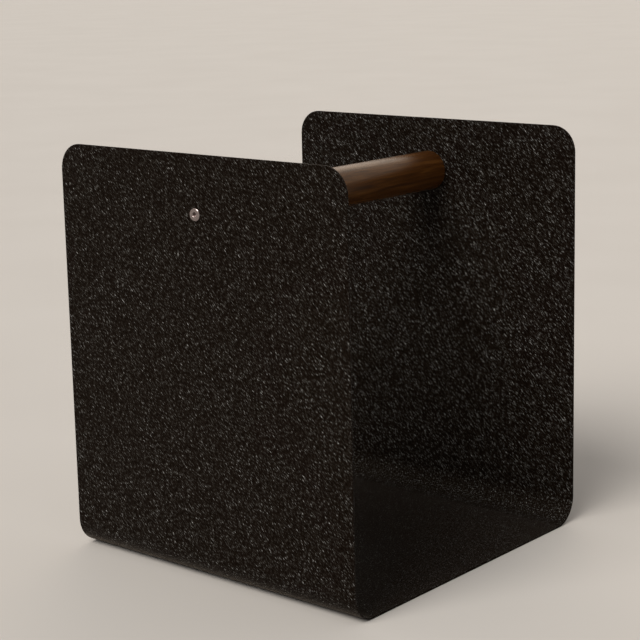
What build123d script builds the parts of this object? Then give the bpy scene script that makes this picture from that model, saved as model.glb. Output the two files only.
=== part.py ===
from build123d import *
from math import cos, radians
import os

# Fireside log holder: one steel sheet bent into a square U, and a round wooden carrying handle clamped
# between its two panels by a screw through each panel into a threaded insert.
# All sizes are in millimetres. X runs across, from the left panel to the right one, Y runs from the
# front opening to the back one, and Z is up. The origin is on the ground, under the middle.

# Bent sheet
overall_width = 350.0        # outside of one panel to outside of the other
overall_depth = 350.0        # front edge of the sheet to its back edge
overall_height = 400.0       # ground to the top edges of the panels
sheet_thickness = 2.0
bend_inner_radius = 25.0
top_corner_radius = 25.0     # upper corners of the panels, seen from the side
sheet_edge_radius = 0.4      # cut edges of the sheet, deburred and coated

# Wooden handle
handle_diameter = 40.0
handle_drop = 54.0           # top edges of the panels down to the handle's axis
handle_end_radius = 1.0

# Handle screws, M6, with a low flat head and a hexagon socket
screw_diameter = 6.0
screw_length = 20.0          # under the head
screw_tip_chamfer = 0.8
head_diameter = 12.0
head_height = 1.6
head_bevel = 0.6
socket_across_flats = 4.0
socket_depth = 2.4
socket_bevel = 0.4

# Threaded inserts in the ends of the handle
insert_diameter = 12.0
insert_length = 15.0
insert_chamfer = 0.6
insert_slot_width = 1.6      # for the driver that turns the insert in
insert_slot_depth = 2.2

# Fits
sheet_hole_clearance = 0.3   # all round the screw, where it passes through the sheet
thread_clearance = 0.05      # all round the screw, in the insert
insert_clearance = 0.05      # all round the insert, in the handle
insert_recess = 0.5          # outer end of the insert below the end of the handle
pilot_clearance = 0.5        # all round the screw, in the flat-bottomed pilot hole past the insert
drilling_allowance = 2.0     # drilled depth beyond the screw or the insert, whichever is deeper

# Sizes that follow from those above
bend_outer_radius = bend_inner_radius + sheet_thickness
handle_axis_height = overall_height - handle_drop
handle_length = overall_width - 2 * sheet_thickness
insert_seat_depth = insert_recess + insert_length
pilot_depth = max(screw_length - sheet_thickness, insert_seat_depth) + drilling_allowance

LEFT = -1
RIGHT = 1
FROM_TOP = (Align.CENTER, Align.CENTER, Align.MAX)
FROM_BOTTOM = (Align.CENTER, Align.CENTER, Align.MIN)


def on_handle_axis(side, distance):
    """Place on the handle's axis, at a distance from the middle, whose Z points out of that side."""
    return Plane((side * distance, 0, handle_axis_height), x_dir=(0, 0, 1), z_dir=(side, 0, 0))


def sheet_blank():
    """The bent sheet with square corners: a U section, thickened inwards from its outside line."""
    half_width = overall_width / 2
    outside = FilletPolyline(
        (-half_width, overall_height),
        (-half_width, 0),
        (half_width, 0),
        (half_width, overall_height),
        radius=bend_outer_radius,
    )
    section = make_face(offset(outside, sheet_thickness, side=Side.LEFT))
    return extrude(Plane.XZ * section, overall_depth / 2, both=True)


def rim_edges(sheet):
    """The long edges of the cut rim: those that a rim face doesn't share with the next rim face."""
    rim = sheet.faces().filter_by(Axis.Y)
    rim += sheet.faces().filter_by(Axis.Z).group_by(Axis.Z)[-1]
    rim += [
        face
        for face in sheet.faces().filter_by(GeomType.CYLINDER)
        if abs(face.axis_of_rotation.direction.X) > cos(radians(45))
    ]
    edges = [edge for face in rim for edge in face.edges()]
    return [edge for edge in edges if sum(edge.is_same(other) for other in edges) == 1]


def make_cradle():
    """Bent sheet with rounded upper corners, softened edges and a screw hole in each panel."""
    sheet = sheet_blank()
    upper_corners = sheet.edges().filter_by(Axis.X).group_by(Axis.Z)[-1]
    sheet = fillet(upper_corners, top_corner_radius)
    sheet = fillet(rim_edges(sheet), sheet_edge_radius)
    hole_radius = screw_diameter / 2 + sheet_hole_clearance
    for side in (LEFT, RIGHT):
        sheet -= on_handle_axis(side, overall_width / 2) * Cylinder(hole_radius, 4 * sheet_thickness)
    return sheet


def handle_bore():
    """Stepped blind hole along -Z, from an end face at Z = 0: a seat for the insert, then a pilot."""
    seat = Cylinder(insert_diameter / 2 + insert_clearance, insert_seat_depth, align=FROM_TOP)
    pilot = Cylinder(screw_diameter / 2 + pilot_clearance, pilot_depth, align=FROM_TOP)
    return seat + pilot


def make_handle():
    """Turned dowel as long as the gap between the panels, drilled from both ends."""
    dowel = Cylinder(handle_diameter / 2, handle_length)
    dowel = fillet(dowel.edges().filter_by(GeomType.CIRCLE), handle_end_radius)
    handle = on_handle_axis(RIGHT, 0) * dowel
    for side in (LEFT, RIGHT):
        handle -= on_handle_axis(side, handle_length / 2) * handle_bore()
    return handle


def make_insert():
    """Threaded insert along Z, with its slotted outer end at Z = 0."""
    body = Cylinder(insert_diameter / 2, insert_length, align=FROM_TOP)
    body = chamfer(body.edges().filter_by(GeomType.CIRCLE), insert_chamfer)
    thread_hole = Cylinder(screw_diameter / 2 + thread_clearance, insert_length, align=FROM_TOP)
    slot = Box(insert_diameter, insert_slot_width, insert_slot_depth, align=FROM_TOP)
    return body - thread_hole - slot


def make_screw():
    """Screw along Z: the underside of its head is at Z = 0 and its shank points down."""
    head = Cylinder(head_diameter / 2, head_height, align=FROM_BOTTOM)
    head = chamfer(head.edges().group_by(Axis.Z)[-1], head_bevel)
    shank = Cylinder(screw_diameter / 2, screw_length, align=FROM_TOP)
    shank = chamfer(shank.edges().group_by(Axis.Z)[0], screw_tip_chamfer)
    hexagon = RegularPolygon(socket_across_flats / 2, side_count=6, major_radius=False)
    socket = Pos(0, 0, head_height - socket_depth) * extrude(hexagon, socket_depth)
    mouth_radius = socket_across_flats / 2 / cos(radians(30)) + socket_bevel / 2
    mouth = Cone(mouth_radius - socket_bevel, mouth_radius, socket_bevel, align=FROM_TOP)
    return head + shank - socket - Pos(0, 0, head_height) * mouth


def make_nodes():
    """Every piece in its place, by name."""
    nodes = {"steel_cradle": make_cradle(), "handle": make_handle()}
    for side, name in ((LEFT, "left"), (RIGHT, "right")):
        insert_end = handle_length / 2 - insert_recess
        nodes[f"{name}_threaded_insert"] = on_handle_axis(side, insert_end) * make_insert()
        nodes[f"{name}_handle_screw"] = on_handle_axis(side, overall_width / 2) * make_screw()
    return nodes


os.makedirs("parts", exist_ok=True)
for node, solid in make_nodes().items():
    solid.label = node
    export_step(solid, f"parts/{node}.step")
    print(f"{node}: {solid.volume:.1f} cubic mm")
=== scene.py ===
import math

import bpy
from mathutils import Matrix, Vector

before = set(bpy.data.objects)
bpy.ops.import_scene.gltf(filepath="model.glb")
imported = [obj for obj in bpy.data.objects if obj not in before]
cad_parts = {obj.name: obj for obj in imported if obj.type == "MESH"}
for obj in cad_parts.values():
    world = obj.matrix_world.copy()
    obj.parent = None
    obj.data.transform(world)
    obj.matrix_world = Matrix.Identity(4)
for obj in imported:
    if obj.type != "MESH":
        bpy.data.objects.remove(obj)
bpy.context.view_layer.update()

# Camera: metres and degrees, in the holder's own frame
CAMERA_PLACE = Vector((-1.275, -1.082, 0.587))
CAMERA_TURN = -49.54        # 0 looks along +Y, and a negative turn is towards +X
CAMERA_DOWN = 11.13         # below the horizon
CAMERA_ROLL = -1.29         # a negative roll lowers the camera's right side
IMAGE_WIDTH = 640
FOCAL_PIXELS = 1752
SENSOR_WIDTH = 36.0         # millimetres
HORIZON_SHIFT_PIXELS = 40   # the photograph's optical centre is this far above its middle
CLIP_END = 100              # past the far corners of the floor

# Powder coat; reliefs and sizes are in metres here and below
GRAIN_SLANT = 45            # degrees about the X axis, so that the grains slant on the two panels
GRAIN_SQUEEZE = 0.22        # texture scale along the grains, which are about 4.5 times as long as wide
GRAINS_PER_METRE = 1350
FLECK_CELLS_PER_METRE = 860
FLECK_SHARE = 0.12          # of the cells
FLECK_RADIUS = 0.40         # in cell sizes
# Pale colour of the flecks, painted on as glints.
PAINTED_GLINT_COLOUR = (0.42, 0.417, 0.405)
FLECK_HEIGHT = 0.4          # as a share of the grains' relief
COAT_RELIEF = 0.0007
COAT_PATCHES_PER_METRE = 30

# Walnut; the squeezes are texture scales along the handle, which draw streaks and pores out
STREAK_SQUEEZE = 0.06
STREAKS_PER_METRE = 330
PORE_SQUEEZE = 0.035
PORES_PER_METRE = 900
PORE_RELIEF = 0.0003

# Metal
SCREW_SMUDGES_PER_METRE = 500
BRASS_SMUDGES_PER_METRE = 400
METAL_RELIEF = 0.0001

# Room
FLOOR_SIZE = 60
FLOOR_CLOUDS_PER_METRE = 3

# Noise goes from 0 to 1, but stays mostly between these two levels
NOISE_LOW = 0.3
NOISE_HIGH = 0.7

# Sockets of a colour mix, which share their names with its sockets for numbers and vectors
MIX_AMOUNT_INPUT = 0
MIX_FIRST_INPUT = 6
MIX_SECOND_INPUT = 7
MIX_COLOUR_OUTPUT = 2


def rgba(colour):
    """Opaque colour, from three numbers or from a single number for a grey."""
    if isinstance(colour, (int, float)):
        return (colour, colour, colour, 1)
    return (*colour, 1)


def set_inputs(tree, node, values):
    """Give inputs of a node plain values, or link them to outputs of other nodes."""
    for name, value in values.items():
        if isinstance(value, bpy.types.NodeSocket):
            tree.links.new(value, node.inputs[name])
        else:
            node.inputs[name].default_value = value


def add_node(tree, kind, values):
    node = tree.nodes.new(kind)
    set_inputs(tree, node, values)
    return node


def new_material(name):
    material = bpy.data.materials.new(name)
    material.use_nodes = True
    return material, material.node_tree, material.node_tree.nodes["Principled BSDF"]


def texture_space(tree, turn=(0, 0, 0), scale=(1, 1, 1)):
    """The holder's own coordinates in metres, turned by degrees and then scaled."""
    coordinates = tree.nodes.new("ShaderNodeTexCoord")
    turned = add_node(tree, "ShaderNodeMapping", {
        "Vector": coordinates.outputs["Object"],
        "Rotation": [math.radians(angle) for angle in turn],
    })
    scaled = add_node(tree, "ShaderNodeMapping", {"Vector": turned.outputs["Vector"], "Scale": scale})
    return scaled.outputs["Vector"]


def ramp(tree, source, *stops, smooth=False):
    """Colour ramp of (position, colour) stops."""
    node = add_node(tree, "ShaderNodeValToRGB", {"Fac": source})
    if smooth:
        node.color_ramp.interpolation = "EASE"
    elements = node.color_ramp.elements
    while len(elements) < len(stops):
        elements.new(0.5)
    for element, (position, colour) in zip(elements, stops):
        element.position = position
        element.color = rgba(colour)
    return node.outputs["Color"]


def vary(tree, level, low, high):
    """From one value or colour to another as a noise goes from low to high."""
    return ramp(tree, level, (NOISE_LOW, low), (NOISE_HIGH, high))


def mix(tree, amount, first, second, blend_type="MIX"):
    """Colour mix; each input is a socket or a plain value."""
    node = tree.nodes.new("ShaderNodeMix")
    node.data_type = "RGBA"
    node.blend_type = blend_type
    set_inputs(tree, node, {MIX_AMOUNT_INPUT: amount, MIX_FIRST_INPUT: first, MIX_SECOND_INPUT: second})
    return node.outputs[MIX_COLOUR_OUTPUT]


def calculate(tree, operation, *values):
    """Result of one sum; each value is a socket or a number."""
    node = tree.nodes.new("ShaderNodeMath")
    node.operation = operation
    set_inputs(tree, node, dict(enumerate(values)))
    return node.outputs["Value"]


def noise(tree, vector, scale, detail=2.0, roughness=0.5, distortion=0.0):
    node = add_node(tree, "ShaderNodeTexNoise", {
        "Vector": vector,
        "Scale": scale,
        "Detail": detail,
        "Roughness": roughness,
        "Distortion": distortion,
    })
    return node.outputs["Fac"]


def bump(tree, height, strength, distance):
    node = add_node(tree, "ShaderNodeBump", {"Height": height, "Strength": strength, "Distance": distance})
    return node.outputs["Normal"]


def painted_glint_specks(tree, vector):
    """Small bright grains, painted glints, in a random share of the cells of a 3D pattern, each of its own
    brightness.
    """
    cells = add_node(tree, "ShaderNodeTexVoronoi", {"Vector": vector, "Scale": FLECK_CELLS_PER_METRE})
    split = add_node(tree, "ShaderNodeSeparateColor", {"Color": cells.outputs["Color"]})
    chosen = ramp(tree, split.outputs["Red"], (1 - FLECK_SHARE, 0), (1, 1))
    grain = ramp(tree, cells.outputs["Distance"], (0, 1), (FLECK_RADIUS, 0), smooth=True)
    return calculate(tree, "MULTIPLY", chosen, grain)


def coat_material():
    """Fine structured black powder coat: painted shade in the dark hollows, and painted glints on pale
    grains drawn out along one slant.
    """
    material, tree, shader = new_material("black_structured_coat")
    slanted = texture_space(tree, turn=(GRAIN_SLANT, 0, 0), scale=(1, 1, GRAIN_SQUEEZE))
    grain = noise(tree, slanted, GRAINS_PER_METRE, detail=1.5)
    # The grains' colour: painted shade, near black, in the hollows, rising to painted glints, pale grey,
    # on the grain tops.
    painted_shade_and_glints = ramp(
        tree, grain,
        (0.36, (0.0031, 0.0016, 0.0008)),
        (0.55, (0.0094, 0.0061, 0.0043)),
        (0.63, (0.026, 0.0230, 0.0192)),
        (0.71, (0.100, 0.097, 0.090)),
        (0.82, (0.52, 0.515, 0.505)),
    )
    # Flecks that carry painted glints and stand a little proud.
    glint_specks = painted_glint_specks(tree, slanted)
    relief = calculate(tree, "MULTIPLY_ADD", glint_specks, FLECK_HEIGHT, grain)
    patches = noise(tree, texture_space(tree), COAT_PATCHES_PER_METRE, detail=3)
    set_inputs(tree, shader, {
        # Base colour: painted glints on the flecks, over the grains' painted shade and glints.
        "Base Color": mix(tree, glint_specks, painted_shade_and_glints, rgba(PAINTED_GLINT_COLOUR)),
        "Normal": bump(tree, relief, strength=0.5, distance=COAT_RELIEF),
        "Roughness": vary(tree, patches, 0.41, 0.44),
        "Specular IOR Level": 0.02,
        "Specular Tint": rgba((1.0, 0.82, 0.66)),
        "Sheen Weight": 0.17,
        "Sheen Roughness": 0.22,
        "Sheen Tint": rgba((1.0, 0.78, 0.58)),
    })
    return material


def walnut_material():
    """Oiled walnut: long streaks and pores along the handle, with a satin sheen."""
    material, tree, shader = new_material("oiled_walnut")
    streak_space = texture_space(tree, scale=(STREAK_SQUEEZE, 1, 1))
    pore_space = texture_space(tree, scale=(PORE_SQUEEZE, 1, 1))
    streaks = noise(tree, streak_space, STREAKS_PER_METRE, detail=5, roughness=0.6, distortion=0.4)
    pores = noise(tree, pore_space, PORES_PER_METRE, detail=3, roughness=0.6)
    wood = ramp(
        tree, streaks,
        (0.32, (0.026, 0.0072, 0.0007)),
        (0.48, (0.050, 0.0158, 0.0020)),
        (0.60, (0.076, 0.0275, 0.0048)),
        (0.76, (0.112, 0.0470, 0.0115)),
    )
    pore_shade = ramp(tree, pores, (0.3, 0.45), (0.46, 1.0))
    set_inputs(tree, shader, {
        "Base Color": mix(tree, 1.0, wood, pore_shade, "MULTIPLY"),
        "Normal": bump(tree, pores, strength=0.25, distance=PORE_RELIEF),
        "Roughness": vary(tree, streaks, 0.36, 0.29),
        "Specular IOR Level": 0.6,
        "Specular Tint": rgba((1.0, 0.84, 0.66)),
    })
    return material


def metal_material(name, smudges_per_metre, colours, roughnesses, relief_strength=0.0):
    """Machined metal whose colour and gloss vary a little in soft smudges."""
    material, tree, shader = new_material(name)
    smudges = noise(tree, texture_space(tree), smudges_per_metre, detail=3)
    set_inputs(tree, shader, {
        "Base Color": vary(tree, smudges, *colours),
        "Roughness": vary(tree, smudges, *roughnesses),
        "Metallic": 1.0,
    })
    if relief_strength:
        normal = bump(tree, smudges, strength=relief_strength, distance=METAL_RELIEF)
        set_inputs(tree, shader, {"Normal": normal})
    return material


def finish_nodes():
    """Give each piece of the frame its material."""
    finishes = {
        "steel_cradle": coat_material(),
        "handle": walnut_material(),
    }
    screw = metal_material(
        "stainless_screw",
        SCREW_SMUDGES_PER_METRE,
        colours=((0.23, 0.19, 0.185), (0.33, 0.285, 0.275)),
        roughnesses=(0.16, 0.26),
        relief_strength=0.1,
    )
    brass = metal_material(
        "machined_brass",
        BRASS_SMUDGES_PER_METRE,
        colours=((0.55, 0.36, 0.12), (0.75, 0.53, 0.22)),
        roughnesses=(0.25, 0.4),
    )
    for side in ("left", "right"):
        finishes[f"{side}_handle_screw"] = screw
        finishes[f"{side}_threaded_insert"] = brass
    for name, material in finishes.items():
        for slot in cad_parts[name].material_slots:
            slot.material = material


def pale_floor():
    """Large floor under the holder, almost one plain tone."""
    bpy.ops.mesh.primitive_plane_add(size=FLOOR_SIZE, location=(0, 0, 0))
    floor = bpy.context.object
    floor.name = "floor"
    material, tree, shader = new_material("pale_floor")
    clouds = noise(tree, texture_space(tree), FLOOR_CLOUDS_PER_METRE)
    set_inputs(tree, shader, {
        "Base Color": vary(tree, clouds, (0.62, 0.58, 0.535), (0.64, 0.60, 0.555)),
        "Roughness": 0.7,
        "Specular IOR Level": 0.2,
    })
    floor.data.materials.append(material)


def pale_world():
    """Dim even light from all round, and a backdrop about as pale as the floor, also in reflections."""
    world = bpy.data.worlds.new("pale_world")
    world.use_nodes = True
    tree = world.node_tree
    light = tree.nodes["Background"]
    set_inputs(tree, light, {"Color": rgba((0.97, 0.98, 1.0)), "Strength": 0.30})
    backdrop = add_node(tree, "ShaderNodeBackground", {"Color": rgba((0.640, 0.590, 0.530))})
    path = tree.nodes.new("ShaderNodeLightPath")
    seen = calculate(tree, "ADD", path.outputs["Is Camera Ray"], path.outputs["Is Glossy Ray"])
    seen = calculate(tree, "ADD", seen, path.outputs["Is Transmission Ray"])
    shown = add_node(tree, "ShaderNodeMixShader", {
        "Fac": seen,
        1: light.outputs["Background"],
        2: backdrop.outputs["Background"],
    })
    set_inputs(tree, tree.nodes["World Output"], {"Surface": shown.outputs["Shader"]})
    bpy.context.scene.world = world


def soft_sun(name, direction, strength, angle, colour):
    """Even light from one side of the sky; the direction points towards the light."""
    light = bpy.data.lights.new(name, "SUN")
    light.energy = strength
    light.angle = math.radians(angle)
    light.color = colour
    lamp = bpy.data.objects.new(name, light)
    lamp.rotation_euler = Vector(direction).to_track_quat("Z", "Y").to_euler()
    bpy.context.scene.collection.objects.link(lamp)


def studio():
    """Plain pale floor and backdrop, a main light from the upper left and two weak ones."""
    pale_floor()
    soft_sun("key", direction=(-0.95, 0, 1.0), strength=2.45, angle=38, colour=(1, 0.97, 0.93))
    soft_sun("top", direction=(0, 0.05, 1.0), strength=0.15, angle=50, colour=(1, 0.98, 0.95))
    soft_sun("back", direction=(0.75, 0.45, 0.55), strength=0.28, angle=35, colour=(1, 0.84, 0.68))
    pale_world()


def photograph_camera():
    """Camera from which the holder stands as in the photograph."""
    turn, down, roll = (math.radians(angle) for angle in (CAMERA_TURN, CAMERA_DOWN, CAMERA_ROLL))
    look = Vector((-math.sin(turn) * math.cos(down), math.cos(turn) * math.cos(down), -math.sin(down)))
    right = Vector((math.cos(turn), math.sin(turn), 0))
    up = right.cross(look)
    rolled_right = right * math.cos(roll) + up * math.sin(roll)
    rolled_up = up * math.cos(roll) - right * math.sin(roll)
    axes = Matrix((rolled_right, rolled_up, -look)).transposed()
    camera = bpy.data.objects.new("camera", bpy.data.cameras.new("camera"))
    camera.matrix_world = Matrix.Translation(CAMERA_PLACE) @ axes.to_4x4()
    camera.data.sensor_width = SENSOR_WIDTH
    camera.data.lens = FOCAL_PIXELS / IMAGE_WIDTH * SENSOR_WIDTH
    camera.data.shift_y = -HORIZON_SHIFT_PIXELS / IMAGE_WIDTH
    camera.data.clip_end = CLIP_END
    bpy.context.scene.collection.objects.link(camera)
    bpy.context.scene.camera = camera


finish_nodes()
studio()
photograph_camera()
bpy.context.scene.view_settings.view_transform = "Standard"
